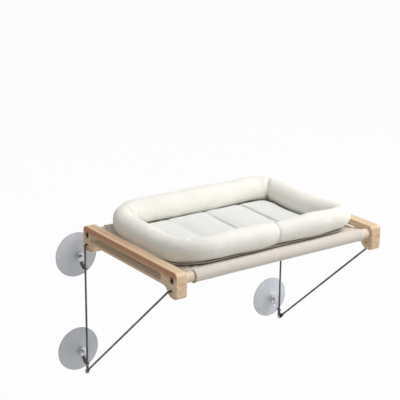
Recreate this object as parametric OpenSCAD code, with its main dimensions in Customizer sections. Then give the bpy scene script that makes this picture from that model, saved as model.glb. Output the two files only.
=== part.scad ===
// Window mounted cat perch: two wooden rails joined by two dowels, a stretched canvas deck,
// folding steel braces, four suction cups and a loose plush bed.
// X runs along the dowels, Y points at the window glass, which is the plane Y = 0, and Z is up.
// The origin is the middle of the four suction cups, on the glass.

/* [Frame] */
// Width of the frame over the outer faces of its rails
frame_w = 480; // [400:5:560]
// Length of a rail, from its window end to its front end
rail_l = 318; // [280:2:360]
// Thickness of a rail
rail_t = 24; // [22:1:28]
// Gap between the glass and the window end of a rail
window_gap = 21; // [19:1:26]
// Height of the rails' top edge above the centres of the upper cups
rail_rise = 65; // [62:1:75]

/* [Rail shape] */
// Height of a rail between its feet
rail_h = 32; // [30:1:36]
// Height of a rail at its feet
foot_h = 49; // [47:1:56]
// Length of the window foot, up to the end of its curve
back_foot_l = 52; // [46:1:60]
// Length of the front foot, up to the end of its curve
front_foot_l = 43; // [40:1:56]
// Angle that a foot's curve swings through before it swings back
foot_swing = 60; // [50:1:70]
// Radius of a rail's top corners
top_corner_r = 9; // [4:1:12]
// Radius of the outer corner of a foot
toe_r = 7; // [3:1:9]
// Height of the long slot through a rail
slot_h = 12; // [8:1:13]
// Depth of the slot's upper edge below the top edge of the rail
slot_drop = 13; // [12:1:14]
// Distance from a rail's window end to the slot
slot_back_inset = 30; // [26:1:40]
// Distance from a rail's front end to the slot
slot_front_inset = 48; // [40:1:60]

/* [Dowels and bolts] */
// Diameter of a dowel
dowel_d = 20; // [18:1:22]
// Depth of a dowel's seat in the inner face of a rail
dowel_seat = 5; // [3:1:7]
// Distance of the dowels and rod holes from the ends of a rail
hole_inset = 14.5; // [13.5:0.5:16]
// Depth of the dowels' axis below the top edge of a rail
dowel_drop = 16; // [15:1:18]
// Height of the dowels' axis above the rod holes
hole_pitch = 19; // [18:1:20]
// Diameter of a bolt
bolt_d = 6; // [5:1:7]
// Length of a bolt under its head
bolt_l = 25; // [22:1:30]
// Diameter of a bolt's head
head_d = 11; // [10:1:12]
// Height of a bolt's head
head_h = 3.6; // [3:0.2:4]
// Width across the flats of the socket in a bolt's head
socket_w = 4; // [3:1:5]
// Depth of the socket in a bolt's head
socket_depth = 2.2; // [1.5:0.1:2.5]
// Diameter of the counterbore for a bolt's head
counterbore_d = 13; // [12.5:0.5:14]
// Depth of the counterbore
counterbore_depth = 5; // [4:0.5:7]
// Outer diameter of a threaded insert
insert_d = 9; // [8.5:0.5:10]
// Length of a threaded insert
insert_l = 14; // [10:1:18]

/* [Canvas] */
// Length of bare dowel between an end of the canvas and the rail
bare_dowel_l = 20; // [10:1:40]
// Thickness of the canvas, with its lining
canvas_t = 1.6; // [1:0.1:2]
// Depth of the canvas's sag halfway between the dowels
canvas_sag = 16; // [8:1:30]
// Gap between a dowel and the sleeve round it
sleeve_gap = 0.3; // [0.2:0.1:0.5]

/* [Braces] */
// Diameter of the brace rods
rod_d = 4; // [3.6:0.2:5]
// Gap between the outer face of a rail and its upright rod
rod_gap = 2.5; // [2.2:0.1:3.5]
// Radius of a rod's bend, on its centre line
rod_bend_r = 4; // [3.4:0.1:4.4]
// Depth of an upright's peg in its rail
peg_l = 15; // [12:1:20]
// Height of the lower cups' centres above the rivets
rivet_drop = 36; // [35:1:44]
// Length of an upright's flattened end, from the rivet to the round rod
paddle_l = 16; // [14:1:17]
// Length of a strut's flattened end, from the rivet to the round rod
strut_paddle_l = 12; // [10:1:13]
// Width of a flattened end
paddle_w = 8; // [7:1:9]
// Thickness of a flattened end
paddle_t = 2.4; // [2:0.2:2.8]
// Gap between the two flattened ends on a rivet
paddle_gap = 0.3; // [0.2:0.1:0.5]
// Diameter of a rivet's shank
rivet_d = 4; // [3:0.5:4.5]
// Diameter of a rivet's heads
rivet_head_d = 7.4; // [6.5:0.1:8]
// Height of a rivet's heads
rivet_head_h = 1.6; // [1.2:0.2:2]
// Gap between a strut's tip and the outer face of its rail
tip_gap = 0.3; // [0.3:0.1:1]

/* [Suction cups] */
// Height between the centres of the upper and the lower cups
cup_pitch = 200; // [180:2:240]
// Diameter of a cup
cup_d = 90; // [70:1:96]
// Width of the flat rim that seals on the glass
rim_w = 4; // [2:0.5:6]
// Thickness of a cup at its edge
lip_t = 1.2; // [1:0.1:1.6]
// Depth of the hollow behind a cup
hollow_depth = 2.4; // [1.5:0.1:2.8]
// Thickness of a cup where its dish meets the neck
crown_t = 6; // [5.6:0.1:6.4]
// Diameter of the dish where it turns into the neck
crown_d = 32; // [28:1:36]
// Diameter of a cup's neck
neck_d = 18; // [16:0.5:20]
// Height of a cup's neck above the glass
neck_l = 17.5; // [16.5:0.5:18]
// Diameter of the stud in a cup
stud_d = 5; // [4:0.5:5]
// Length of stud beyond the nut
stud_end = 1.5; // [1:0.5:2]
// Diameter of the stud's flange, moulded into the neck
flange_d = 12; // [10:1:13]
// Thickness of the stud's flange
flange_t = 1.6; // [1.2:0.2:2]
// Height of the stud's flange above the glass
flange_rise = 7.6; // [7.2:0.2:8.4]
// Diameter of a bracket's round plate
plate_d = 19; // [18:1:20]
// Thickness of a bracket
bracket_t = 1.4; // [1.2:0.1:1.6]
// Width of a bracket's leg and tab
bracket_w = 7.4; // [7:0.2:8]
// Depth of the bend in a bracket's leg below the cup's centre
leg_bend_drop = 9.5; // [8:0.5:11]
// Distance from a rod's axis back to the root of the tab round it
tab_root = 6; // [5:0.5:8]
// Distance from a rod's axis forward to the end of the tab round it
tab_reach = 4.4; // [4:0.1:4.8]
// Width of a nut across its flats
nut_w = 8; // [7:0.5:10]
// Height of a nut
nut_h = 4; // [3.4:0.2:4.4]

/* [Bed] */
// Gap between the bed and each rail
bed_gap = 1; // [0.5:0.5:8]
// Depth of the bed, from its back to its front
bed_l = 300; // [280:2:316]
// Width of the bed's bolster
bolster_w = 54; // [46:1:60]
// Height of the bolster before it settles
bolster_h = 53; // [46:1:58]
// Height that the bolster loses where it settles on the deck
bolster_settle = 2; // [1.5:0.1:3]
// Outer corner radius of the bed, seen from above
bed_corner_r = 75; // [70:1:90]
// Thickness of the base cushion at its edge
base_edge_t = 13; // [10:1:16]
// Extra height of the base cushion in the middle of a channel
base_crown = 6; // [4:1:8]
// Depth of the sewn seams between the channels
seam_depth = 5; // [2:1:7]
// Width of the hollow that a seam draws in
seam_w = 22; // [14:1:30]
// Thickness of the cloth under the bed
underside_t = 1.2; // [1:0.1:1.6]

/* [Hidden] */
// Radial clearance of a hinge peg, a rivet or a cup's tab on its rod
running_gap = 0.08;
// Clearance round a piece that is fixed in its hole
fixed_gap = 0.1;
// Clearance round a bolt in a rail
bolt_gap = 0.25;
// Gap between soft or loose pieces and what they rest on
rest_gap = 0.3;
// Overrun of a cut past the face that it opens
overrun = 1;
// Steps in a quarter of an outline's arc, and in the arc of the sagging deck
arc_steps = 8;
sag_steps = 24;
$fn = 64;

// Channels across the base cushion
channels = 4;
// Columns of the base cushion in one channel, and rows across all of them
channel_steps = 8;
base_rows = 12;
// Shares of the base's edge height at which its side wall has a ring
wall_shares = [0.25, 0.6];
// Rings in a corner, a long side and a short side of the bolster, and points round a ring
corner_rings = 6;
long_rings = 6;
short_rings = 6;
ring_points = 20;
// Share of a sleeve's inner radius, inwards from the dowel's axis, at which the deck panel starts
lap_share = 0.68;
// Share of its width that the bolster loses in its corners
corner_pinch_share = 0.07;
// Share of its width that the bolster loses at the seam in the middle of its front
front_seam_share = 0.05;

// Places that follow from the sizes above
outer_x = frame_w / 2;
inner_x = outer_x - rail_t;
cup_z = cup_pitch / 2;
rail_top_z = cup_z + rail_rise;
foot_z = rail_top_z - foot_h;
dowel_z = rail_top_z - dowel_drop;
pivot_z = dowel_z - hole_pitch;
back_y = -(window_gap + hole_inset);
front_y = -(window_gap + rail_l - hole_inset);
mid_y = -(window_gap + rail_l / 2);
rod_x = outer_x + rod_gap + rod_d / 2;
strut_x = rod_x + paddle_t + paddle_gap;
rivet_z = -cup_z - rivet_drop;
strut_rise = pivot_z - rivet_z;
strut_run = back_y - front_y;
strut_l = norm([strut_run, strut_rise]);
strut_lean = atan2(strut_run, strut_rise);
foot_step = foot_h - rail_h;
foot_curve_r = foot_step / 2 / (1 - cos(foot_swing));
foot_curve_w = 2 * foot_curve_r * sin(foot_swing);
slot_l = rail_l - slot_back_inset - slot_front_inset;
dowel_half_l = inner_x + dowel_seat;
canvas_w = 2 * (inner_x - bare_dowel_l);
bolt_seat_x = outer_x - counterbore_depth;
sleeve_in_r = dowel_d / 2 + sleeve_gap;
sleeve_out_r = sleeve_in_r + canvas_t;
canvas_top_z = dowel_z + sleeve_out_r;
sleeve_lap = lap_share * sleeve_in_r;
half_span = (back_y - front_y) / 2;
sag_r = (pow(half_span, 2) + pow(canvas_sag, 2)) / (2 * canvas_sag) - sleeve_out_r;
sag_centre = [mid_y, canvas_top_z - canvas_sag + sag_r];
sag_swing = asin((half_span - sleeve_lap) / (sag_r + canvas_t));
tab_drop = rivet_drop - paddle_l - rest_gap;
bed_w = 2 * (inner_x - bed_gap);
bolster_x = (bed_w - bolster_w) / 2;
bolster_y = (bed_l - bolster_w) / 2;
bolster_corner_r = bed_corner_r - bolster_w / 2;

// Points of an arc round centre c, from angle a0 to angle a1
function arc(c, r, a0, a1, steps = arc_steps) =
    [for (i = [0:steps]) let (a = a0 + (a1 - a0) * i / steps) c + r * [cos(a), sin(a)]];

// Side view of a cloth of thickness t that sags with the deck, with its top at height above the deck's top
function sagging(above, t) = concat(
    arc(sag_centre, sag_r - above + t, 270 - sag_swing, 270 + sag_swing, sag_steps),
    arc(sag_centre, sag_r - above, 270 + sag_swing, 270 - sag_swing, sag_steps)
);

// A copy on the left side of the perch for side -1, and on the right side for side 1
module on_side(side) {
    if (side < 0) mirror([1, 0, 0]) children();
    else children();
}

// A cylinder along X
module x_bar(d, x0, x1, y, z) {
    translate([x0, y, z]) rotate([0, 90, 0]) cylinder(d = d, h = x1 - x0);
}

// A rail seen from its side: u runs from the window end to the front, v up from the feet
back_curve_u = back_foot_l - foot_curve_w;
front_curve_u = rail_l - front_foot_l + foot_curve_w;
rail_outline = concat(
    arc([top_corner_r, foot_h - top_corner_r], top_corner_r, 180, 90),
    arc([rail_l - top_corner_r, foot_h - top_corner_r], top_corner_r, 90, 0),
    arc([rail_l - toe_r, toe_r], toe_r, 0, -90),
    arc([front_curve_u, foot_curve_r], foot_curve_r, 270, 270 - foot_swing),
    arc([rail_l - front_foot_l, foot_step - foot_curve_r], foot_curve_r, 90 - foot_swing, 90),
    arc([back_foot_l, foot_step - foot_curve_r], foot_curve_r, 90, 90 + foot_swing),
    arc([back_curve_u, foot_curve_r], foot_curve_r, 270 + foot_swing, 270),
    arc([toe_r, toe_r], toe_r, 270, 180)
);

module rail_slot() {
    slot_z = rail_top_z - slot_drop - slot_h / 2;
    slot_back_y = -(window_gap + slot_back_inset + slot_h / 2);
    slot_front_y = slot_back_y - slot_l + slot_h;
    for (y = [slot_back_y, slot_front_y])
        x_bar(slot_h, inner_x - overrun, outer_x + overrun, y, slot_z);
    translate([inner_x - overrun, slot_front_y, slot_z - slot_h / 2])
        cube([rail_t + 2 * overrun, slot_back_y - slot_front_y, slot_h]);
}

module rail() {
    color("tan")
    difference() {
        translate([outer_x, -window_gap, foot_z]) rotate([90, 0, -90])
            linear_extrude(rail_t) polygon(rail_outline);
        rail_slot();
        for (y = [back_y, front_y]) {
            x_bar(dowel_d + 2 * fixed_gap, inner_x - overrun, inner_x + dowel_seat, y, dowel_z);
            x_bar(bolt_d + 2 * bolt_gap, inner_x, outer_x, y, dowel_z);
            x_bar(counterbore_d, bolt_seat_x, outer_x + overrun, y, dowel_z);
            x_bar(rod_d + 2 * running_gap, inner_x - overrun, outer_x + overrun, y, pivot_z);
        }
    }
}

module dowel(y) {
    color("burlywood")
    difference() {
        x_bar(dowel_d, -dowel_half_l, dowel_half_l, y, dowel_z);
        for (side = [-1, 1]) on_side(side) {
            x_bar(insert_d + 2 * fixed_gap, dowel_half_l - insert_l, dowel_half_l + overrun, y, dowel_z);
            x_bar(bolt_d + 2 * bolt_gap, bolt_seat_x - bolt_l - overrun, dowel_half_l, y, dowel_z);
        }
    }
}

module threaded_inserts() {
    color("goldenrod")
    for (side = [-1, 1], y = [back_y, front_y]) on_side(side)
        difference() {
            x_bar(insert_d, dowel_half_l - insert_l, dowel_half_l, y, dowel_z);
            x_bar(bolt_d + 2 * fixed_gap, dowel_half_l - insert_l - overrun, dowel_half_l + overrun, y,
                dowel_z);
        }
}

module frame_bolts() {
    head_arc_h = head_h / 2;
    color("dimgray")
    for (side = [-1, 1], y = [back_y, front_y]) on_side(side)
        difference() {
            union() {
                x_bar(bolt_d, bolt_seat_x - bolt_l, bolt_seat_x, y, dowel_z);
                x_bar(head_d, bolt_seat_x, bolt_seat_x + head_arc_h, y, dowel_z);
                translate([bolt_seat_x + head_arc_h, y, dowel_z]) rotate([0, 90, 0])
                    cylinder(d1 = head_d, d2 = head_d - head_h, h = head_h - head_arc_h);
            }
            translate([bolt_seat_x + head_h - socket_depth, y, dowel_z]) rotate([0, 90, 0])
                cylinder(d = socket_w / cos(30), h = socket_depth + overrun, $fn = 6);
        }
}

// A side view, drawn as places along Y and Z, drawn out along X to both sides of the middle
module across(w) {
    translate([-w / 2, 0, 0]) rotate([90, 0, 90]) linear_extrude(w) children();
}

module deck_panel() {
    color("lightgray")
    across(canvas_w) polygon(sagging(0, canvas_t));
}

// The canvas round a dowel, open where the deck panel is sewn to it
module sleeve(y) {
    above_z = canvas_top_z + overrun;
    panel_underside = arc(sag_centre, sag_r + canvas_t, 270 - sag_swing, 270 + sag_swing, sag_steps);
    lap_ends = [[back_y - sleeve_lap, above_z], [front_y + sleeve_lap, above_z]];
    color("silver")
    difference() {
        x_bar(2 * sleeve_out_r, -canvas_w / 2, canvas_w / 2, y, dowel_z);
        x_bar(2 * sleeve_in_r, -canvas_w / 2 - overrun, canvas_w / 2 + overrun, y, dowel_z);
        across(canvas_w + 2 * overrun) polygon(concat(panel_underside, lap_ends));
    }
}

// A quarter bend of rod from the upright direction at x to the inward direction at z
module rod_bend(x, z) {
    translate([x - rod_bend_r, 0, z - rod_bend_r]) rotate([90, 0, 0])
        rotate_extrude(angle = 90) translate([rod_bend_r, 0]) circle(d = rod_d);
}

// A flattened rod end with its rivet hole at the origin, running up for length l
module paddle(l) {
    difference() {
        union() {
            x_bar(paddle_w, -paddle_t / 2, paddle_t / 2, 0, 0);
            translate([-paddle_t / 2, -paddle_w / 2, 0]) cube([paddle_t, paddle_w, l]);
        }
        x_bar(rivet_d + 2 * running_gap, -paddle_t / 2 - overrun, paddle_t / 2 + overrun, 0, 0);
    }
}

module upright() {
    color("dimgray")
    translate([0, back_y, 0]) {
        translate([rod_x, 0, rivet_z]) paddle(paddle_l);
        translate([rod_x, 0, rivet_z + paddle_l])
            cylinder(d = rod_d, h = strut_rise - paddle_l - rod_bend_r);
        rod_bend(rod_x, pivot_z);
        x_bar(rod_d, outer_x - peg_l, rod_x - rod_bend_r, 0, pivot_z);
    }
}

module strut() {
    color("gray")
    translate([0, back_y, rivet_z]) rotate([strut_lean, 0, 0]) {
        translate([strut_x, 0, 0]) paddle(strut_paddle_l);
        translate([strut_x, 0, strut_paddle_l])
            cylinder(d = rod_d, h = strut_l - strut_paddle_l - rod_bend_r);
        rod_bend(strut_x, strut_l);
        x_bar(rod_d, outer_x + tip_gap, strut_x - rod_bend_r, 0, strut_l);
    }
}

module rivet() {
    inner_face_x = rod_x - paddle_t / 2;
    outer_face_x = strut_x + paddle_t / 2;
    rim_h = rivet_head_h / 2;
    color("silver")
    translate([0, back_y, rivet_z]) {
        x_bar(rivet_d, inner_face_x, outer_face_x, 0, 0);
        x_bar(rivet_head_d, inner_face_x - rim_h, inner_face_x, 0, 0);
        translate([inner_face_x - rim_h, 0, 0]) rotate([0, -90, 0])
            cylinder(d1 = rivet_head_d, d2 = rivet_d, h = rivet_head_h - rim_h);
        x_bar(rivet_head_d, outer_face_x, outer_face_x + rim_h, 0, 0);
        translate([outer_face_x + rim_h, 0, 0]) rotate([0, 90, 0])
            cylinder(d1 = rivet_head_d, d2 = rivet_d, h = rivet_head_h - rim_h);
    }
}

// Half profile of a cup: radius, and height above the glass
neck_foot_rise = (neck_d + crown_d) / 2 - neck_d;
cup_profile = [
    [0, hollow_depth],
    [cup_d / 4, hollow_depth * 3 / 4],
    [cup_d / 2 - rim_w, 0],
    [cup_d / 2, 0],
    [cup_d / 2, lip_t],
    [(cup_d + crown_d) / 4, (lip_t + crown_t) / 2],
    [crown_d / 2, crown_t],
    [neck_d / 2, crown_t + neck_foot_rise / 2],
    [neck_d / 2, neck_l],
    [stud_d / 2 + fixed_gap, neck_l],
    [stud_d / 2 + fixed_gap, flange_rise + flange_t + fixed_gap],
    [flange_d / 2 + fixed_gap, flange_rise + flange_t + fixed_gap],
    [flange_d / 2 + fixed_gap, flange_rise - fixed_gap],
    [0, flange_rise - fixed_gap]
];

// Something that stands out from the glass along its own Z, on the cup centre at height z
module out_of_glass(z) {
    translate([rod_x, 0, z]) rotate([90, 0, 0]) children();
}

module cup(z) {
    color("gainsboro", 0.5)
    out_of_glass(z) rotate_extrude() polygon(cup_profile);
}

module stud(z) {
    color("silver")
    out_of_glass(z) translate([0, 0, flange_rise]) {
        cylinder(d = flange_d, h = flange_t);
        cylinder(d = stud_d, h = neck_l - flange_rise + bracket_t + nut_h + stud_end);
    }
}

module nut(z) {
    color("silver")
    out_of_glass(z) translate([0, 0, neck_l + bracket_t])
        difference() {
            cylinder(d = nut_w / cos(30), h = nut_h, $fn = 6);
            translate([0, 0, -overrun]) cylinder(d = stud_d + 2 * fixed_gap, h = nut_h + 2 * overrun);
        }
}

// Side view of a bracket's leg and tab: distance in front of the glass, height from the cup's centre
tab_root_out = -back_y - tab_root;
tab_end_out = -back_y + tab_reach;
leg_outline = [
    [neck_l, -stud_d],
    [neck_l, -leg_bend_drop],
    [tab_root_out, -tab_drop],
    [tab_end_out, -tab_drop],
    [tab_end_out, -tab_drop + bracket_t],
    [tab_root_out, -tab_drop + bracket_t],
    [neck_l + bracket_t, -leg_bend_drop],
    [neck_l + bracket_t, -stud_d]
];

module bracket(z) {
    color("lightgray")
    difference() {
        union() {
            out_of_glass(z) translate([0, 0, neck_l]) cylinder(d = plate_d, h = bracket_t);
            translate([rod_x + bracket_w / 2, 0, z]) rotate([90, 0, -90])
                linear_extrude(bracket_w) polygon(leg_outline);
        }
        out_of_glass(z) cylinder(d = stud_d + 2 * fixed_gap, h = neck_l + bracket_t + overrun);
        translate([rod_x, back_y, z - tab_drop - overrun])
            cylinder(d = rod_d + 2 * running_gap, h = bracket_t + 2 * overrun);
    }
}

// A point of the bed, given on a flat floor round its middle, moved to where the bed lies in the sagging deck
function bedded(p) =
    let (deck_z = sag_centre[1] - sqrt(pow(sag_r, 2) - pow(p[1], 2)))
    [p[0], mid_y + p[1], deck_z + rest_gap + underside_t + fixed_gap + p[2]];

// Half chord of the bolster's section at a height above the cloth under it
function bolster_half(height) =
    let (share = 1 - (height + bolster_settle) / (bolster_h / 2))
    bolster_w / 2 * sqrt(1 - share * share);

// Corner of the bolster's centre line: place, outward direction, share of the pinch
function corner_stations(cx, cy, a0) = [for (i = [0:corner_rings - 1])
    let (a = a0 + 90 * i / corner_rings)
    [cx + bolster_corner_r * cos(a), cy + bolster_corner_r * sin(a), a, sin(180 * i / corner_rings)]];

// Straight side of the centre line from p to q, facing angle a
function side_stations(p, q, a, rings) = [for (i = [0:rings - 1])
    let (c = p + (q - p) * i / rings) [c[0], c[1], a, 0]];

straight_x = bolster_x - bolster_corner_r;
straight_y = bolster_y - bolster_corner_r;
stations = concat(
    corner_stations(straight_x, straight_y, 0),
    side_stations([straight_x, bolster_y], [-straight_x, bolster_y], 90, long_rings),
    corner_stations(-straight_x, straight_y, 90),
    side_stations([-bolster_x, straight_y], [-bolster_x, -straight_y], 180, short_rings),
    corner_stations(-straight_x, -straight_y, 180),
    side_stations([-straight_x, -bolster_y], [straight_x, -bolster_y], 270, long_rings),
    corner_stations(straight_x, -straight_y, 270),
    side_stations([bolster_x, -straight_y], [bolster_x, straight_y], 0, short_rings)
);
front_seam_ring = 3 * corner_rings + long_rings + short_rings + long_rings / 2;

// Points of one ring of the bolster, settled flat on the cloth under it
function bolster_ring(k) =
    let (s = stations[k],
         slim = 1 - corner_pinch_share * s[3] - (k == front_seam_ring ? front_seam_share : 0))
    [for (j = [0:ring_points - 1])
        let (q = 360 * j / ring_points,
             out = slim * bolster_w / 2 * cos(q),
             up = bolster_h / 2 * (1 + slim * sin(q)) - bolster_settle)
        bedded([s[0] + out * cos(s[2]), s[1] + out * sin(s[2]), max(0, up)])];

module bed_bolster() {
    rings = len(stations);
    points = [for (k = [0:rings - 1]) each bolster_ring(k)];
    faces = [for (k = [0:rings - 1], j = [0:ring_points - 1])
        let (k2 = (k + 1) % rings, j2 = (j + 1) % ring_points,
             a = k * ring_points + j, b = k2 * ring_points + j,
             c = k2 * ring_points + j2, d = k * ring_points + j2)
        each [[a, d, b], [d, c, b]]];
    color("ivory")
    polyhedron(points, faces);
}

// Half depth of the base cushion at x, where its wall stands s inside the bolster's centre line
function base_half_y(x, s) =
    let (r = bolster_corner_r - s, over = abs(x) - straight_x)
    bolster_y - bolster_corner_r + (over <= 0 ? r : sqrt(max(0, r * r - over * over)));

// Grid point of the base cushion in column i and row j, inside a wall s from the centre line
function base_point(i, j, s) =
    let (x = (bolster_x - s) * (2 * i / base_columns - 1))
    [x, base_half_y(x, s) * (2 * j / base_rows - 1)];

// Height of the base cushion over its channels, seams and falling edges
function base_height(p) =
    let (w = 2 * (bolster_x - wall_inset(1)) / channels,
         to_seam = abs(p[0] - w * round(p[0] / w)),
         inside = abs(p[0]) < w * (channels - 1) / 2 + seam_w ? 1 : 0,
         dip = to_seam < seam_w / 2 ? inside * (1 + cos(360 * to_seam / seam_w)) / 2 : 0,
         edge_x = 1 - pow(abs(p[0]) / (bolster_x - wall_inset(1)), 6),
         edge_y = 1 - pow(abs(p[1]) / (bolster_y - wall_inset(1)), 4),
         full = max(0, edge_x) * max(0, edge_y))
    base_edge_t + full * (base_crown - seam_depth * dip);

// Distance of the base's wall from the bolster's centre line at a share of its edge height
function wall_inset(share) = bolster_half(base_edge_t * share) + rest_gap + fixed_gap;

base_columns = channels * channel_steps;
// Edge of the grid, once round
base_rim = concat(
    [for (i = [0:base_columns - 1]) [i, 0]],
    [for (j = [0:base_rows - 1]) [base_columns, j]],
    [for (i = [base_columns:-1:1]) [i, base_rows]],
    [for (j = [base_rows:-1:1]) [0, j]]
);

module bed_base() {
    rows = base_rows + 1;
    sheet = (base_columns + 1) * rows;
    rim = len(base_rim);
    wall_rings = len(wall_shares);
    bottom = [for (i = [0:base_columns], j = [0:base_rows])
        let (p = base_point(i, j, wall_inset(0))) [p[0], p[1], 0]];
    top = [for (i = [0:base_columns], j = [0:base_rows])
        let (p = base_point(i, j, wall_inset(1))) [p[0], p[1], base_height(p)]];
    walls = [for (w = [0:wall_rings - 1], g = base_rim)
        let (share = wall_shares[w], p = base_point(g[0], g[1], wall_inset(share)))
        [p[0], p[1], base_edge_t * share]];
    // Index of the rim's point n on level w: the bottom sheet, the wall rings, then the top sheet
    function level(w, n) =
        let (g = base_rim[n % rim])
        w == 0 ? g[0] * rows + g[1]
        : w <= wall_rings ? 2 * sheet + (w - 1) * rim + n % rim
        : sheet + g[0] * rows + g[1];
    sheet_faces = [for (i = [0:base_columns - 1], j = [0:base_rows - 1])
        let (a = i * rows + j, b = a + rows, c = b + 1, d = a + 1)
        each [[a, b, c], [a, c, d], [sheet + a, sheet + c, sheet + b], [sheet + a, sheet + d, sheet + c]]];
    wall_faces = [for (w = [0:wall_rings], n = [0:rim - 1])
        let (a = level(w, n), b = level(w, n + 1), c = level(w + 1, n + 1), d = level(w + 1, n))
        each [[a, c, b], [a, d, c]]];
    color("white")
    polyhedron([for (p = concat(bottom, top, walls)) bedded(p)], concat(sheet_faces, wall_faces));
}

module bed_underside() {
    reach = bolster_half(0);
    corner_r = bolster_corner_r + reach;
    x = bolster_x + reach - corner_r;
    y = bolster_y + reach - corner_r;
    outline = concat(
        arc([x, y], corner_r, 0, 90),
        arc([-x, y], corner_r, 90, 180),
        arc([-x, -y], corner_r, 180, 270),
        arc([x, -y], corner_r, 270, 360)
    );
    color("beige")
    intersection() {
        across(bed_w) polygon(sagging(rest_gap + underside_t, underside_t));
        translate([0, mid_y, 0]) linear_extrude(rail_top_z) polygon(outline);
    }
}

on_side(-1) rail();  // left_rail
on_side(1) rail();  // right_rail
dowel(back_y);  // back_dowel
dowel(front_y);  // front_dowel
threaded_inserts();
frame_bolts();
deck_panel();
sleeve(back_y);  // back_sleeve
sleeve(front_y);  // front_sleeve
on_side(-1) upright();  // left_upright
on_side(1) upright();  // right_upright
on_side(-1) strut();  // left_strut
on_side(1) strut();  // right_strut
on_side(-1) rivet();  // left_rivet
on_side(1) rivet();  // right_rivet
on_side(-1) cup(cup_z);  // left_upper_cup
on_side(-1) stud(cup_z);  // left_upper_stud
on_side(-1) bracket(cup_z);  // left_upper_bracket
on_side(-1) nut(cup_z);  // left_upper_nut
on_side(1) cup(cup_z);  // right_upper_cup
on_side(1) stud(cup_z);  // right_upper_stud
on_side(1) bracket(cup_z);  // right_upper_bracket
on_side(1) nut(cup_z);  // right_upper_nut
on_side(-1) cup(-cup_z);  // left_lower_cup
on_side(-1) stud(-cup_z);  // left_lower_stud
on_side(-1) bracket(-cup_z);  // left_lower_bracket
on_side(-1) nut(-cup_z);  // left_lower_nut
on_side(1) cup(-cup_z);  // right_lower_cup
on_side(1) stud(-cup_z);  // right_lower_stud
on_side(1) bracket(-cup_z);  // right_lower_bracket
on_side(1) nut(-cup_z);  // right_lower_nut
bed_underside();
bed_base();
bed_bolster();
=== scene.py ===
"""A window mounted cat perch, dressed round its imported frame.

Lengths are metres. X runs along the dowels, Y points at the window glass and Z is up.
"""

from math import asin, atan2, copysign, cos, dist, exp, hypot, pi, radians, sin, sqrt, tan, tanh

import bmesh
import bpy
import numpy as np
from mathutils import Matrix, Vector
from mathutils.noise import noise


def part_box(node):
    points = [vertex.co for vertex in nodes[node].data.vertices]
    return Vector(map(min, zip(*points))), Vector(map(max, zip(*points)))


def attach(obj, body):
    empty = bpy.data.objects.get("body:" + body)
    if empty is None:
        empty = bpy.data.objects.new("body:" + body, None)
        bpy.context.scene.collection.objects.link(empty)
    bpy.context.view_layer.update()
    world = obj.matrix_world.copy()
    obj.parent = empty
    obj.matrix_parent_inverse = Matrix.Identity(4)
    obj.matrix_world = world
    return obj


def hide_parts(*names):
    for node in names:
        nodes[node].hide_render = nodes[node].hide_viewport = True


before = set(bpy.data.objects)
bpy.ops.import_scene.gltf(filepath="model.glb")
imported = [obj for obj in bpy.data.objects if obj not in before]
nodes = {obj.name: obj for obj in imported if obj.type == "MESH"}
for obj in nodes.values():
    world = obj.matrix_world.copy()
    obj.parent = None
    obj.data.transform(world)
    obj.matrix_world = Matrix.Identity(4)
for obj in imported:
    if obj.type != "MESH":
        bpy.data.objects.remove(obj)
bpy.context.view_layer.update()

MM = 0.001
SIDES = {"left": -1, "right": 1}
FULL_TURN = 2 * pi


# Places read from the frame

def middle(name):
    low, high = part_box(name)
    return (low + high) / 2


def extent(name):
    low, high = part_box(name)
    return [high[k] - low[k] for k in range(3)]


rail_low, rail_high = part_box("right_rail")
INNER_X, OUTER_X = rail_low.x, rail_high.x
RAIL_T = OUTER_X - INNER_X
RAIL_BACK_Y, RAIL_FRONT_Y = rail_high.y, rail_low.y
RAIL_L = RAIL_BACK_Y - RAIL_FRONT_Y
FOOT_Z, RAIL_TOP_Z = rail_low.z, rail_high.z
FOOT_H = RAIL_TOP_Z - FOOT_Z

DOWEL_R = extent("front_dowel")[2] / 2
DOWEL_Z = middle("front_dowel").z
FRONT_Y, BACK_Y = middle("front_dowel").y, middle("back_dowel").y
MID_Y = (FRONT_Y + BACK_Y) / 2
HALF_SPAN = (BACK_Y - FRONT_Y) / 2

ROD_D = 4 * MM
ROD_HOLE_R = ROD_D / 2 + 0.08 * MM
PIVOT_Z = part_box("right_upright")[1].z - ROD_D / 2
RIVET_Z = middle("right_rivet").z
ROD_X = middle("right_lower_cup").x
STRUT_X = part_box("right_strut")[1].x - ROD_D / 2
CUP_R = extent("right_upper_cup")[2] / 2
CUP_Z = {"upper": middle("right_upper_cup").z, "lower": middle("right_lower_cup").z}
NECK_L = -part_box("right_upper_cup")[0].y
BED_HALF = Vector([length / 2 for length in extent("bed_bolster")[:2]])


# Outlines and meshes

def rounded(corners, closed=True, steps=5):
    """A flat outline through corners (u, v, radius), with each corner rounded off."""
    points = []
    count = len(corners)
    for i, (u, v, radius) in enumerate(corners):
        here = Vector((u, v))
        if radius <= 0 or (not closed and i in (0, count - 1)):
            points.append(here)
            continue
        before = (Vector(corners[i - 1][:2]) - here).normalized()
        after = (Vector(corners[(i + 1) % count][:2]) - here).normalized()
        half = before.angle(after) / 2
        if half > radians(89.5):
            points.append(here)
            continue
        reach = radius / tan(half)
        centre = here + (before + after).normalized() * (radius / sin(half))
        start, end = here + before * reach - centre, here + after * reach - centre
        swing = start.angle_signed(end)
        turned_by = [Matrix.Rotation(-swing * k / steps, 2) for k in range(steps + 1)]
        points += [centre + turn @ start for turn in turned_by]
    return points


def rounded_box(low, high, radius, steps=5):
    """A rectangle's flat outline, with its four corners rounded off."""
    corners = ((low[0], low[1]), (high[0], low[1]), (high[0], high[1]), (low[0], high[1]))
    return rounded([(u, v, radius) for u, v in corners], steps=steps)


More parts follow.
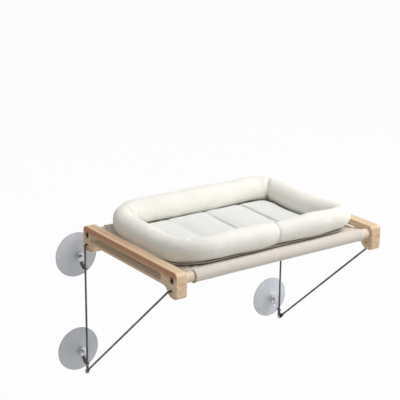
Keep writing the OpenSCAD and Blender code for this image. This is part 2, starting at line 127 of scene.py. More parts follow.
def skin(rings, closed=True):
    """Faces between rings of points that all have the same count. A ring of one point is a tip."""
    points, starts, faces = [], [], []
    for ring in rings:
        starts.append(len(points))
        points += ring
    for k in range(len(rings) - 1 + closed):
        a, b = k, (k + 1) % len(rings)
        size = max(len(rings[a]), len(rings[b]))
        for j in range(size):
            i = (j + 1) % size
            corners = []
            for ring, n in ((a, j), (a, i), (b, i), (b, j)):
                corner = starts[ring] + (n if len(rings[ring]) > 1 else 0)
                if corner not in corners:
                    corners.append(corner)
            if len(corners) > 2:
                faces.append(corners)
    return points, faces


def around(radius, angle, height):
    return Vector((radius * cos(angle), radius * sin(angle), height))


def turned(profile, segments=48, closed=False):
    """Rings round the Z axis through a profile of (radius, height)."""
    angles = np.arange(segments) * FULL_TURN / segments
    rings = []
    for radius, height in profile:
        rings.append([around(radius, a, height) for a in (angles if radius > 1e-7 else [0.0])])
    return skin(rings, closed)


def capped(rings):
    """Faces between rings, with a fan from the middle of the first ring and of the last."""
    first, last = ([sum(ring, Vector()) / len(ring)] for ring in (rings[0], rings[-1]))
    return skin([first] + rings + [last], closed=False)


def swept(path, side, section):
    """Rings along a flat path, whose plane has the normal side. section(k) gives ring k's outline."""
    rings = []
    for k, here in enumerate(path):
        ahead = (path[min(k + 1, len(path) - 1)] - path[max(k - 1, 0)]).normalized()
        across = ahead.cross(side)
        rings.append([here + side * a + across * b for a, b in section(k)])
    return capped(rings)


def squircle(half_w, half_t, power=2.0, points=20):
    """An outline from an ellipse, at power 2, to a rectangle with soft corners at a higher power."""
    outline = []
    for k in range(points):
        a = FULL_TURN * k / points
        c, s = cos(a), sin(a)
        outline.append((half_w * copysign(abs(c) ** (2 / power), c),
                        half_t * copysign(abs(s) ** (2 / power), s)))
    return outline


def inset(outline, distance):
    """A closed outline moved to its left by distance."""
    moved = []
    for k, here in enumerate(outline):
        before = (Vector(here) - Vector(outline[k - 1])).normalized()
        after = (Vector(outline[(k + 1) % len(outline)]) - Vector(here)).normalized()
        along = (before + after).normalized()
        stretch = 1 / max(0.5, along.dot(after))
        moved.append((here[0] - along.y * distance * stretch, here[1] + along.x * distance * stretch))
    return moved


def edge_rings(outline, thickness, edge_r, steps=4):
    """Rings (u, v, depth) of a board's side from its face at depth 0 to its back, with rounded edges."""
    rings = []
    for depth_of in (lambda d: d, lambda d: thickness - d):
        half = []
        for k in range(steps + 1):
            a = pi / 2 * k / steps
            moved = inset(outline, edge_r * (1 - sin(a)))
            half.append([(u, v, depth_of(edge_r * (1 - cos(a)))) for u, v in moved])
        rings += half if not rings else half[::-1]
    return rings


def bore_rings(centre, steps, segments=32):
    """Rings of a hole whose radius changes with depth, from the face to the back."""
    angles = -np.arange(segments) * FULL_TURN / segments
    return [[(centre[0] + r * cos(a), centre[1] + r * sin(a), depth) for a in angles]
            for r, depth in steps]


def bore(radius, length, edge):
    """A straight hole's steps for bore_rings, with both edges broken."""
    return [(radius + edge, 0), (radius, edge), (radius, length - edge), (radius + edge, length)]


def board(contours):
    """A flat solid: the first contour's rings are its outside, and the others are holes through it."""
    bm = bmesh.new()
    caps = ([], [])
    for rings in contours:
        verts = [[bm.verts.new(p) for p in ring] for ring in rings]
        for low, high in zip(verts, verts[1:]):
            for k in range(len(low)):
                n = (k + 1) % len(low)
                bm.faces.new((low[k], low[n], high[n], high[k]))
        for cap, ring in zip(caps, (verts[0], verts[-1])):
            cap += [bm.edges.get((ring[k - 1], ring[k])) for k in range(len(ring))]
    for cap in caps:
        bmesh.ops.triangle_fill(bm, use_beauty=True, use_dissolve=False, edges=cap)
    bmesh.ops.recalc_face_normals(bm, faces=bm.faces)
    bm.verts.index_update()
    points = [v.co.copy() for v in bm.verts]
    faces = [[v.index for v in f.verts] for f in bm.faces]
    bm.free()
    return points, faces


def eased(share):
    """A smooth rise from 0 to 1."""
    share = min(1.0, max(0.0, share))
    return share * share * (3 - 2 * share)


def bell(distance, width):
    """1 in the middle, and less to both sides over a width."""
    return exp(-(distance / width) ** 2)


def uneven(place, *waves):
    """A rise in metres at a place, from waves of (height in mm, waves in a metre)."""
    return sum(height * MM * noise(place * scale) for height, scale in waves)


def placed(shape, matrix):
    points, faces = shape
    return [matrix @ Vector(p) for p in points], faces


def raised(shape, height):
    return placed(shape, Matrix.Translation((0, 0, height)))


def joined(*shapes):
    points, faces = [], []
    for some_points, some_faces in shapes:
        start = len(points)
        points += list(some_points)
        faces += [[start + i for i in face] for face in some_faces]
    return points, faces


def outward(mesh):
    """Turns every face outwards."""
    bm = bmesh.new()
    bm.from_mesh(mesh)
    bmesh.ops.recalc_face_normals(bm, faces=bm.faces)
    bm.to_mesh(mesh)
    bm.free()


def new_object(name, data):
    made = bpy.data.objects.new(name, data)
    bpy.context.scene.collection.objects.link(made)
    return made


def set_up(thing, **values):
    for key, value in values.items():
        setattr(thing, key, value)
    return thing


def modifier(piece, name, kind, **values):
    return set_up(piece.modifiers.new(name, kind), **values)


def new_piece(name, shape, finish, body, replaces=(), sharp=None, outwards=True):
    """A piece as a mesh with one finish or more, which rides on a body in place of its CAD nodes."""
    mesh = bpy.data.meshes.new(name)
    mesh.from_pydata([tuple(p) for p in shape[0]], [], shape[1])
    if outwards:
        outward(mesh)
    mesh.shade_smooth()
    if sharp:
        mesh.set_sharp_from_angle(angle=radians(sharp))
    piece = new_object(name, mesh)
    for each in finish.split(", "):
        mesh.materials.append(FINISH[each])
    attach(piece, body)
    if replaces:
        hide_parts(*replaces)
    return piece


# Materials

def group(name, colours, values, outputs):
    """A new shader node group: its tree, what it is given, and its end node."""
    tree = bpy.data.node_groups.new(name, "ShaderNodeTree")
    kinds = {"Place": "Vector", **dict.fromkeys(["Color"] + colours, "Color")}
    for way, titles in (("INPUT", ["Place"] + colours + values), ("OUTPUT", outputs)):
        for title in titles:
            kind = "NodeSocket" + kinds.get(title, "Float")
            tree.interface.new_socket(title, in_out=way, socket_type=kind)
    return tree, tree.nodes.new("NodeGroupInput").outputs, tree.nodes.new("NodeGroupOutput")


def is_socket(value):
    return isinstance(value, bpy.types.NodeSocket)


def join(made, inputs):
    """Joins a node's inputs to sockets, or sets them to values."""
    for key, value in inputs.items():
        if is_socket(value):
            made.id_data.links.new(value, made.inputs[key])
        else:
            made.inputs[key].default_value = value
    return made


def node(kind, inputs, **settings):
    """A node with its settings and inputs, in the tree of the first socket among the inputs."""
    tree = next(value.id_data for value in inputs.values() if is_socket(value))
    return join(set_up(tree.nodes.new("ShaderNode" + kind), **settings), inputs)


def worked(operation, a, b=0.0, clamp=False):
    return node("Math", {0: a, 1: b}, operation=operation, use_clamp=clamp).outputs[0]


def plus(a, b, clamp=False):
    return worked("ADD", a, b, clamp)


def times(a, b):
    return worked("MULTIPLY", a, b)


def mixed(factor, a, b, blend="MIX"):
    made = node("Mix", {0: factor, 6: a, 7: b}, data_type="RGBA", blend_type=blend)
    return made.outputs[2]


def spread(value, low, high, to_low=0.0, to_high=1.0):
    made = node("MapRange", {0: value, 1: low, 2: high, 3: to_low, 4: to_high})
    return made.outputs[0]


def clouds(place, scale, detail, squeeze=None):
    """Soft noise over a place, squeezed along the axes where that is given."""
    if squeeze:
        place = node("Mapping", {"Vector": place, "Scale": squeeze}).outputs[0]
    return node("TexNoise", {"Vector": place, "Scale": scale, "Detail": detail}).outputs[0]


def colour(r, g, b):
    """A screen colour from 0 to 255 as linear values."""
    def linear(c):
        c /= 255
        return c / 12.92 if c <= 0.04045 else ((c + 0.055) / 1.055) ** 2.4
    return (linear(r), linear(g), linear(b), 1)


def solid_wood_group():
    """Growth rings round a pith line along Z, fine fibres along it, and a slow change of tone."""
    tree, given, end = group("solid wood", ["Pale", "Dark", "Warm"],
                             ["Ring width", "Heart radius", "End grain"], ["Color", "Height", "Roughness"])
    place, warm, end_grain = (given[title] for title in ("Place", "Warm", "End grain"))
    wander = clouds(place, 2.2, 3.0, (9, 9, 1.6))
    parts = node("SeparateXYZ", {0: place}).outputs
    squares = plus(worked("POWER", parts[0], 2.0), worked("POWER", parts[1], 2.0))
    radius = worked("SQRT", squares)
    shifted = plus(radius, times(wander, 0.02))
    ring = worked("FRACT", worked("DIVIDE", shifted, given["Ring width"]))
    late = times(spread(ring, 0.45, 0.95), spread(ring, 1.0, 0.95))
    late = times(late, spread(end_grain, 0.0, 1.0, 0.55, 1.0))
    fibre = clouds(place, 1.0, 4.0, (1400, 1400, 22))
    streak = clouds(place, 1.0, 3.0, (130, 130, 3.5))
    base = mixed(late, given["Pale"], given["Dark"])
    base = mixed(spread(streak, 0.45, 0.75, 0.0, 0.6), base, warm)
    drifted = plus(radius, times(wander, 0.004))
    inwards = worked("SUBTRACT", given["Heart radius"], drifted)
    base = mixed(spread(inwards, -0.5 * MM, 1.5 * MM, 0.0, 0.9), base, warm)
    base = mixed(times(end_grain, late), base, mixed(0.55, base, warm))
    fine = spread(fibre, 0.3, 0.7, 0.86, 1.06)
    grey = node("CombineXYZ", {0: fine, 1: fine, 2: fine}).outputs[0]
    join(end, {
        "Color": mixed(1.0, base, grey, "MULTIPLY"),
        "Height": plus(times(fibre, 0.7), times(late, 0.3)),
        "Roughness": spread(fibre, 0.2, 0.8, 0.42, 0.6)})
    return tree


def woven_group():
    """Threads that cross at right angles in the first two directions of Place, a thread each Pitch."""
    tree, given, end = group("plain weave", ["Light", "Shade"], ["Pitch"], ["Color", "Height"])
    place = given["Place"]
    parts = node("SeparateXYZ", {0: place}).outputs
    turn = worked("DIVIDE", pi, given["Pitch"])
    drift = times(clouds(place, 60.0, 2.0), 1.2 * MM)
    waves = [worked("SINE", times(plus(parts[k], drift), turn)) for k in (0, 1)]
    warp, weft = (worked("ABSOLUTE", wave) for wave in waves)
    over = worked("GREATER_THAN", times(*waves), 0.0)
    top = node("Mix", {0: over, 2: warp, 3: weft}).outputs[0]
    slubs = [clouds(place, 1.0, 2.0, squeeze) for squeeze in ((40, 900, 1), (900, 40, 1))]
    mottle = times(plus(*slubs), 0.5)
    shade = plus(times(top, 0.55), spread(mottle, 0.35, 0.65, 0.0, 0.5), clamp=True)
    join(end, {
        "Color": mixed(shade, given["Shade"], given["Light"]),
        "Height": plus(top, times(mottle, 0.5))})
    return tree


def pile_group():
    """Soft curled pile: tufts, the strands in them, and the shade between tufts."""
    tree, given, end = group("curled pile", ["Light", "Shade"], ["Tuft"], ["Color", "Height"])
    place = given["Place"]
    stir = node("TexNoise", {"Vector": place, "Scale": 160.0, "Detail": 2.0}).outputs[1]
    away = node("VectorMath", {0: stir, 3: 5 * MM}, operation="SCALE").outputs[0]
    moved = node("VectorMath", {0: place, 1: away}, operation="ADD").outputs[0]
    size = worked("DIVIDE", 1.0, given["Tuft"])
    tufts = node("TexVoronoi", {"Vector": moved, "Scale": size}, feature="SMOOTH_F1")
    round_tuft = spread(tufts.outputs[0], 0.0, 0.75, 1.0, 0.0)
    strands = clouds(moved, 1400.0, 3.0)
    height = plus(times(round_tuft, 0.75), times(strands, 0.35))
    slow = clouds(place, 14.0, 2.0)
    light = plus(times(height, 0.75), times(slow, 0.35), clamp=True)
    join(end, {
        "Color": mixed(light, given["Shade"], given["Light"]), "Height": height})
    return tree


def metal_wear_group():
    """Fine marks drawn along one direction, and soft blotches where the plating is duller."""
    tree, given, end = group("drawn metal", ["Bright", "Dull"], [], ["Color", "Height", "Roughness"])
    place = given["Place"]
    drawn = clouds(place, 1.0, 2.0, (2200, 2200, 60))
    dull = spread(clouds(place, 90.0, 4.0), 0.4, 0.7)
    rough = plus(spread(dull, 0.0, 1.0, 0.2, 0.36), spread(drawn, 0.3, 0.7, -0.03, 0.03))
    join(end, {
        "Color": mixed(dull, given["Bright"], given["Dull"]),
        "Height": drawn, "Roughness": rough})
    return tree


GROUPS = {"wood": solid_wood_group(), "weave": woven_group(), "pile": pile_group(),
          "metal": metal_wear_group()}


def material(name):
    """A new material with its Principled shader, and the places on the piece."""
    made = bpy.data.materials.new(name)
    made.use_nodes = True
    nodes_in = made.node_tree.nodes
    return made, nodes_in["Principled BSDF"], nodes_in.new("ShaderNodeTexCoord").outputs


def bump(shader, height, relief, depth):
    made = node("Bump", {"Height": height, "Strength": relief, "Distance": depth})
    join(shader, {"Normal": made.outputs[0]})


def dressed(shader, kind, colours, inputs, plain, relief, depth):
    """Gives the shader the colour, roughness and height of a surface group, and its own plain values."""
    inputs = {**inputs, **{title: colour(*shade) for title, shade in colours.items()}}
    surface = node("Group", inputs, node_tree=GROUPS[kind]).outputs
    join(shader, {"Base Color": surface["Color"], **plain})
    if "Roughness" in surface:
        join(shader, {"Roughness": surface["Roughness"]})
    bump(shader, surface["Height"], relief, depth)


def wood(name, turn, pith, pale, dark, warm, ring_width, heart_r=0.0, end_contrast=1.0):
    """Oiled wood whose grain runs along the piece's axis after turn, round a pith line that lies off it."""
    made, shader, places = material(name)
    laid = node("Mapping", {"Vector": places["Object"], "Rotation": turn, "Location": pith})
    facing = node("Mapping", {"Vector": places["Normal"], "Rotation": turn}, vector_type="NORMAL")
    along = node("SeparateXYZ", {0: facing.outputs[0]}).outputs[2]
    end_grain = spread(worked("ABSOLUTE", along), 0.6, 0.95, 0.0, end_contrast)
    dressed(shader, "wood", {"Pale": pale, "Dark": dark, "Warm": warm}, {
        "Place": laid.outputs[0], "Ring width": ring_width, "Heart radius": heart_r, "End grain": end_grain,
    }, {"Coat Weight": 0.1, "Coat Roughness": 0.4}, relief=0.3, depth=0.12 * MM)
    return made


def metal(name, bright, dull, turn=(0, 0, 0)):
    made, shader, places = material(name)
    laid = node("Mapping", {"Vector": places["Object"], "Rotation": turn})
    dressed(shader, "metal", {"Bright": bright, "Dull": dull}, {"Place": laid.outputs[0]},
            {"Metallic": 1.0}, relief=0.2, depth=0.05 * MM)
    return made


def cloth(name, light, shade, pitch, place_attribute=None):
    made, shader, places = material(name)
    place = places["Object"]
    if place_attribute:
        by_name = made.node_tree.nodes.new("ShaderNodeAttribute")
        place = set_up(by_name, attribute_name=place_attribute).outputs["Vector"]
    dressed(shader, "weave", {"Light": light, "Shade": shade}, {"Place": place, "Pitch": pitch},
            {"Roughness": 0.9, "Sheen Weight": 0.15}, relief=0.5, depth=0.25 * MM)
    return made


def fleece(name, light, shade, tuft):
    made, shader, places = material(name)
    dressed(shader, "pile", {"Light": light, "Shade": shade}, {"Place": places["Object"], "Tuft": tuft},
            {"Roughness": 1.0, "Sheen Weight": 0.35, "Sheen Roughness": 0.6}, relief=0.45, depth=0.8 * MM)
    return made


def clear_vinyl():
    """Soft clear vinyl: a grey cast with faint slow streaks from the mould, and a little haze."""
    made, shader, places = material("clear vinyl")
    flow = clouds(places["Object"], 30.0, 2.0)
    cast = mixed(spread(flow, 0.3, 0.7), colour(214, 218, 223), colour(223, 226, 230))
    join(shader, {
        "Base Color": cast, "Roughness": spread(flow, 0.3, 0.7, 0.32, 0.42),
        "Transmission Weight": 0.35, "IOR": 1.25})
    bump(shader, flow, relief=0.05, depth=0.2 * MM)
    return made


ALONG_Y = (radians(90), 0, 0)
ALONG_X = (0, radians(-90), 0)
RING_W = 5.5 * MM


def pine(name, pith, heart_r, end_contrast):
    """Rail wood, with the pith off to one side, so that the ends show slanting rings."""
    return wood(name, ALONG_Y, pith, (233, 208, 174), (213, 180, 142), (184, 122, 82), RING_W, heart_r,
                end_contrast)


def slot_wood_and_painted_light(name, pale, dark, warm):
    """Wood inside a rail's slot: bare wood, and the painted shade on its rim and the painted highlight on
    its ends.
    """
    return wood(name, ALONG_Y, (0.2, 0.2, 0), pale, dark, warm, RING_W)


FINISH = {
    "left rail": pine("left rail pine", (0.27, 0.165, 0), heart_r=34.5 * MM, end_contrast=0.1),
    "right rail": pine("right rail pine", (-0.17, 0.2, 0), heart_r=0.0, end_contrast=1.0),
    "slot": slot_wood_and_painted_light("unfinished pine", (226, 210, 190), (190, 170, 148), (178, 148, 122)),
    # The rim colour is painted shade: a dark line round the slot's edges, where shade falls.
    "shaded slot rim": slot_wood_and_painted_light("painted shade on the slot's rim", (150, 108, 78), (120, 80, 56), (104, 66, 46)),
    # The end colour is a painted highlight: paler wood standing in for light on the slot's rounded ends.
    "lit slot end": slot_wood_and_painted_light("painted highlight on the slot's ends", (252, 236, 216), (236, 212, 186), (226, 190, 160)),
    "dowel": wood("turned dowel", ALONG_X, (0.03, 0.02, 0), (228, 210, 188), (212, 189, 162),
                  (208, 180, 152), ring_width=4 * MM),
    "rod": metal("dark steel rod", (94, 94, 98), (62, 62, 66)),
    "bright": metal("bright zinc", (214, 214, 216), (180, 181, 184)),
    # The leg colour is painted shade: the bracket's leg and plate are one piece of steel, and the leg gets
    # a darker copy of its colour.
    "leg": metal("bracket leg steel with painted shade", (140, 140, 144), (98, 98, 102)),
    "dark": metal("black oxide steel", (46, 46, 48), (32, 32, 34)),
    "brass": metal("turned brass", (214, 178, 104), (182, 146, 82), ALONG_X),
    "canvas": cloth("deck canvas", (224, 216, 206), (200, 191, 180), 1.1 * MM, "cloth_place"),
    "thread": cloth("sewing thread", (226, 220, 210), (196, 188, 176), 0.3 * MM),
    "underside": cloth("underside cloth", (228, 224, 214), (202, 195, 182), 0.9 * MM),
    "bolster": fleece("bolster fleece", (242, 240, 232), (230, 227, 217), 3.2 * MM),
    "quilt": fleece("base fleece", (230, 232, 228), (217, 218, 213), 3.0 * MM),
    "vinyl": clear_vinyl(),
}


# Rails

EDGE_R = 2.6 * MM
SLOT_EDGE_R = 1.6 * MM
BORE_EDGE = 0.5 * MM
RAIL_MID_H = 32 * MM
BACK_FOOT_L = 52 * MM
FRONT_FOOT_L = 43 * MM
FOOT_SWING = radians(60)
TOP_CORNER_R = 9 * MM
TOE_R = 7 * MM
SLOT_H = 12 * MM
SLOT_DROP = 13 * MM
SLOT_BACK_INSET = 30 * MM
SLOT_FRONT_INSET = 48 * MM
SLOT_MARGIN = 0.1 * MM
# Faces that are tilted to the side as much as this belong to the rail's flat sides
FLAT_SIDE_TILT = 0.95
BOLT_R = 3.25 * MM
COUNTERBORE_R = 6.5 * MM
COUNTERBORE_DEPTH = 5 * MM
DOWEL_SEAT = 5 * MM
FIT = 0.1 * MM


def rail_outline():
    """The rail from its side: u from the window end to the front, v up from its feet."""
    step = FOOT_H - RAIL_MID_H
    curve_r = step / 2 / (1 - cos(FOOT_SWING))
    slope_w = step / tan(FOOT_SWING)
    bend = curve_r * tan(FOOT_SWING / 2)
    back_top, front_top = BACK_FOOT_L - bend, RAIL_L - FRONT_FOOT_L + bend
    bend_r = curve_r * 0.98
    corners = [
        (0, FOOT_H, TOP_CORNER_R), (RAIL_L, FOOT_H, TOP_CORNER_R), (RAIL_L, 0, TOE_R),
        (front_top + slope_w, 0, bend_r), (front_top, step, bend_r),
        (back_top, step, bend_r), (back_top - slope_w, 0, bend_r), (0, 0, TOE_R),
    ]
    return rounded(corners, steps=10)[::-1]


def slot_outline():
    low, high = FOOT_H - SLOT_DROP - SLOT_H, FOOT_H - SLOT_DROP
    start, end = SLOT_BACK_INSET, RAIL_L - SLOT_FRONT_INSET
    corners = ((start, low), (start, high), (end, high), (end, low))
    return rounded([(u, v, SLOT_H / 2 * 0.999) for u, v in corners], steps=10)


def rail(side_name):
    side = SIDES[side_name]
    contours = [edge_rings(rail_outline(), RAIL_T, EDGE_R), edge_rings(slot_outline(), RAIL_T, SLOT_EDGE_R)]
    seat_r, step = DOWEL_R + FIT, 0.01 * MM
    for y in (BACK_Y, FRONT_Y):
        u = RAIL_BACK_Y - y
        contours.append(bore_rings((u, DOWEL_Z - FOOT_Z), [
            (COUNTERBORE_R + BORE_EDGE, 0), (COUNTERBORE_R, BORE_EDGE),
            (COUNTERBORE_R, COUNTERBORE_DEPTH - step), (COUNTERBORE_R - step, COUNTERBORE_DEPTH),
            (BOLT_R, COUNTERBORE_DEPTH), (BOLT_R, RAIL_T - DOWEL_SEAT),
            (seat_r, RAIL_T - DOWEL_SEAT), (seat_r, RAIL_T - BORE_EDGE), (seat_r + BORE_EDGE, RAIL_T)]))
        rod_hole = bore(ROD_HOLE_R, RAIL_T, BORE_EDGE)
        contours.append(bore_rings((u, PIVOT_Z - FOOT_Z), rod_hole, segments=20))
    points, faces = board(contours)
    points = [Vector((side * (OUTER_X - p.z), RAIL_BACK_Y - p.x, FOOT_Z + p.y)) for p in points]
    finishes = [side_name + " rail", "slot", "shaded slot rim", "lit slot end"]
    piece = new_piece(side_name + "_rail_board", (points, faces), ", ".join(finishes),
                      "deck_frame", [side_name + "_rail"], sharp=50)
    modifier(piece, "flat faces stay flat", "WEIGHTED_NORMAL", keep_sharp=True)
    slot_low = (RAIL_FRONT_Y + SLOT_FRONT_INSET, RAIL_TOP_Z - SLOT_DROP - SLOT_H)
    slot_high = (RAIL_BACK_Y - SLOT_BACK_INSET, RAIL_TOP_Z - SLOT_DROP)
    for face in piece.data.polygons:
        inside = all(low - SLOT_MARGIN < at < high + SLOT_MARGIN
                     for low, at, high in zip(slot_low, face.center.yz, slot_high))
        tilt = abs(face.normal.x)
        if inside and tilt < FLAT_SIDE_TILT:
            # on_end picks the slot's rounded ends, which get the painted highlight.
            on_end = abs(face.normal.y) > 0.3
            # Rim faces get the painted shade, end faces the painted highlight, and the slot's floor bare
            # wood.
            finish = "shaded slot rim" if tilt > 0.15 else "lit slot end" if on_end else "slot"
            face.material_index = finishes.index(finish)


for side_name in SIDES:
    rail(side_name)


# Frame pieces that keep their CAD shape

for name, finish in (("back_dowel", "dowel"), ("front_dowel", "dowel"), ("threaded_inserts", "brass"),
                     ("frame_bolts", "dark")):
    mesh = nodes[name].data
    mesh.materials.clear()
    mesh.materials.append(FINISH[finish])


# Canvas deck

CANVAS_T = 1.4 * MM
CANVAS_SAG = 16 * MM
# How far each side edge curves in at its middle, and how far it flares out behind the sleeves
EDGE_HOLLOW = {-1: 6 * MM, 1: 2 * MM}
EDGE_FLARE = {-1: 10 * MM, 1: 8 * MM}
HEM_L = 16 * MM
SEAM_IN = 21 * MM
CANVAS_STEP = 4 * MM
STITCH_L = 2.6 * MM
STITCH_GAP = 0.8 * MM
THREAD_R = 0.35 * MM
CANVAS_HALF_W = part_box("deck_panel")[1].x
SLEEVE_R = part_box("front_sleeve")[1].z - DOWEL_Z
# From a dowel's axis to the middle of the cloth's thickness
WRAP_R = SLEEVE_R - 0.8 * MM
SAG_REACH = (HALF_SPAN ** 2 + CANVAS_SAG ** 2) / (2 * CANVAS_SAG)
SAG_R = SAG_REACH - WRAP_R
SAG_CENTRE_Z = DOWEL_Z + SAG_REACH - CANVAS_SAG
SAG_ANGLE = asin(HALF_SPAN / SAG_REACH)


def deck_point(y, drop=0.0):
    """A point of the deck's even sag in its side view, or one that lies lower by a drop."""
    return y, SAG_CENTRE_Z - sqrt((SAG_R + drop) ** 2 - y * y)


def edge_x(side, y):
    """Where a side edge of the deck is, from the middle of the perch, at y from the middle of the deck."""
    from_end = HALF_SPAN - abs(y)
    hollow = EDGE_HOLLOW[side] * max(0.0, 1 - (y / HALF_SPAN) ** 2)
    flare = EDGE_FLARE[side] * eased(from_end / (12 * MM)) * bell(from_end, 45 * MM)
    return CANVAS_HALF_W - hollow + flare


def canvas_line():
    """Side view of the whole cloth, from one hem's end round both dowels to the other's."""
    hem_drop = CANVAS_T * 1.05
    leaves_dowel = radians(62)
    seam_y = -HALF_SPAN + SEAM_IN
    hem = [deck_point(y, hem_drop) for y in np.linspace(seam_y + HEM_L, seam_y, 5)]
    turns = np.linspace(FULL_TURN - leaves_dowel, -SAG_ANGLE, 46)
    wrap = [(-HALF_SPAN - WRAP_R * sin(a), DOWEL_Z + WRAP_R * cos(a)) for a in turns]
    front_half = hem + wrap
    deck = [deck_point(SAG_R * sin(a)) for a in np.linspace(-SAG_ANGLE, SAG_ANGLE, 75)[1:-1]]
    back_half = [(-y, z) for y, z in front_half[::-1]]
    return front_half + deck + back_half


def corner_folds(x, y):
    """Small folds that fan out over the deck from the end of each sleeve."""
    fold_h, fold_rate = 2.4 * MM, 13
    away = Vector((CANVAS_HALF_W + 2 * MM - abs(x), HALF_SPAN - 4 * MM - abs(y)))
    turn = atan2(max(away.y, 0), max(away.x, 0) + 2 * MM)
    near = exp(-away.length / (26 * MM)) * eased(away.length / (10 * MM))
    return fold_h * near * sin(turn * fold_rate)


def deck_lift(x, y):
    """How far the cloth stands above its even sag."""
    span_share = max(0.0, 1 - (y / HALF_SPAN) ** 2)
    from_edge = edge_x(-1 if x < 0 else 1, y) - abs(x)
    seed = Vector((x * 7, y * 9, 3.0))
    ripple = 0.9 * MM * noise(seed) * span_share + 0.3 * MM * noise(seed * 4)
    seam = bell(abs(y) - (HALF_SPAN - SEAM_IN), 3 * MM)
    pucker = 0.35 * MM * sin(x / (3.2 * MM) + 2 * noise((x * 30, 0, 0)))
    hem = 0.5 * MM * eased((9 * MM - from_edge) / (2 * MM)) * span_share
    edge_dip = 1.6 * MM * span_share * max(0.0, 1 - from_edge / (19 * MM))
    pressed = eased((BED_HALF.x - abs(x)) / (12 * MM)) * eased((BED_HALF.y - abs(y)) / (12 * MM))
    return ripple + hem - edge_dip + corner_folds(x, y) + (pucker - 0.5 * MM) * seam - 0.9 * MM * pressed


def canvas_deck():
    line = canvas_line()
    walked = [0.0]
    for a, b in zip(line, line[1:]):
        walked.append(walked[-1] + dist(a, b))
    columns = round(2 * CANVAS_HALF_W / CANVAS_STEP)
    points, faces, places = [], [], []
    for i, (y, z) in enumerate(line):
        off_dowel = Vector((y - copysign(HALF_SPAN, y), z - DOWEL_Z))
        over_dowel = abs(y) < HALF_SPAN and z > DOWEL_Z + 0.9 * WRAP_R
        on_deck = over_dowel or abs(off_dowel.length - WRAP_R) > 0.1 * MM
        out = Vector((0, 0, 1)) if on_deck else Vector((0, off_dowel.x, off_dowel.y)).normalized()
        low = max(0.0, -out.z)
        for k in range(columns + 1):
            across = 2 * k / columns - 1
            side = -1 if across < 0 else 1
            x = abs(across) * (edge_x(side, y) if on_deck else CANVAS_HALF_W) * side
            if on_deck:
                lift = deck_lift(x, y)
            else:
                long_fold = noise((x * 14, walked[i] * 130, 7.0))
                from_end = CANVAS_HALF_W - abs(x)
                end_lift = 1.3 * MM * bell(from_end, 3.5 * MM) * eased((1 - out.z) / 0.4)
                lift = 0.7 * MM * max(-0.2, long_fold) * (0.4 + 0.6 * low) + end_lift
            points.append(Vector((x, MID_Y + y, z)) + out * lift)
            places.append((x, walked[i], 0.0))
    row = columns + 1
    for i in range(len(line) - 1):
        for k in range(columns):
            a = i * row + k
            faces.append([a, a + 1, a + row + 1, a + row])
    piece = new_piece("deck_canvas", (points, faces), "canvas", "deck_frame",
                      ["deck_panel", "back_sleeve", "front_sleeve"], outwards=False)
    place = piece.data.attributes.new("cloth_place", "FLOAT_VECTOR", "POINT")
    place.data.foreach_set("vector", np.array(places, np.float32).ravel())
    modifier(piece, "cloth thickness", "SOLIDIFY", thickness=CANVAS_T, offset=0)
    return piece, walked[-1]


canvas, canvas_l = canvas_deck()


def stitch_row(path):
    """Short rounded stitches along a path of points that lie on the cloth."""
    shapes = []
    along = 0.0
    stops = [0.0]
    for a, b in zip(path, path[1:]):
        stops.append(stops[-1] + (b - a).length)

    def at(distance):
        k = min(max(1, int(np.searchsorted(stops, distance))), len(path) - 1)
        share = (distance - stops[k - 1]) / max(1e-9, stops[k] - stops[k - 1])
        return path[k - 1].lerp(path[k], share)

    while along + STITCH_L < stops[-1]:
        start, end = at(along), at(along + STITCH_L)
        ahead = (end - start).normalized()
        side = ahead.cross(Vector((0, 0, 1))).normalized()
        up = side.cross(ahead)
        rings = []
        for share, size in ((0.0, 0.35), (0.15, 0.85), (0.5, 1.0), (0.85, 0.85), (1.0, 0.35)):
            centre = start.lerp(end, share) + up * (THREAD_R * 0.6 * sin(pi * share))
            rings.append([centre + side * (a * size) + up * (b * size)
                          for a, b in squircle(THREAD_R, THREAD_R * 0.7, points=6)])
        shapes.append(skin([[start]] + rings + [[end]], closed=False))
        along += STITCH_L + STITCH_GAP
    return joined(*shapes)


def on_canvas(x, y):
    """A place on top of the deck, sunk a little into the cloth."""
    return Vector((x, MID_Y + y, deck_point(y)[1] + deck_lift(x, y) + CANVAS_T / 2 - 0.1 * MM))


def deck_stitching():
    rows = []
    for end in (-1, 1):
        for seam_gap in (0, 4 * MM):
            y = end * (HALF_SPAN - SEAM_IN - seam_gap)
            left, right = -edge_x(-1, y) + 3 * MM, edge_x(1, y) - 3 * MM
            path = [on_canvas(x, y) for x in np.linspace(left, right, 161)]
            rows.append(stitch_row(path))
    reach = HALF_SPAN - SEAM_IN - 5 * MM
    for side in (-1, 1):
        path = [on_canvas(side * (edge_x(side, y) - 6 * MM), y) for y in np.linspace(-reach, reach, 81)]
        rows.append(stitch_row(path))
    new_piece("deck_stitching", joined(*rows), "thread", "deck_frame")


deck_stitching()


# Brace rods

PADDLE_W = 8 * MM
PADDLE_T = 2.4 * MM
UPRIGHT_PADDLE_L = 16 * MM
STRUT_PADDLE_L = 12 * MM
PRESSED_L = 7 * MM
ROD_BEND_R = 4 * MM
PEG_L = 15 * MM
TIP_GAP = 0.3 * MM


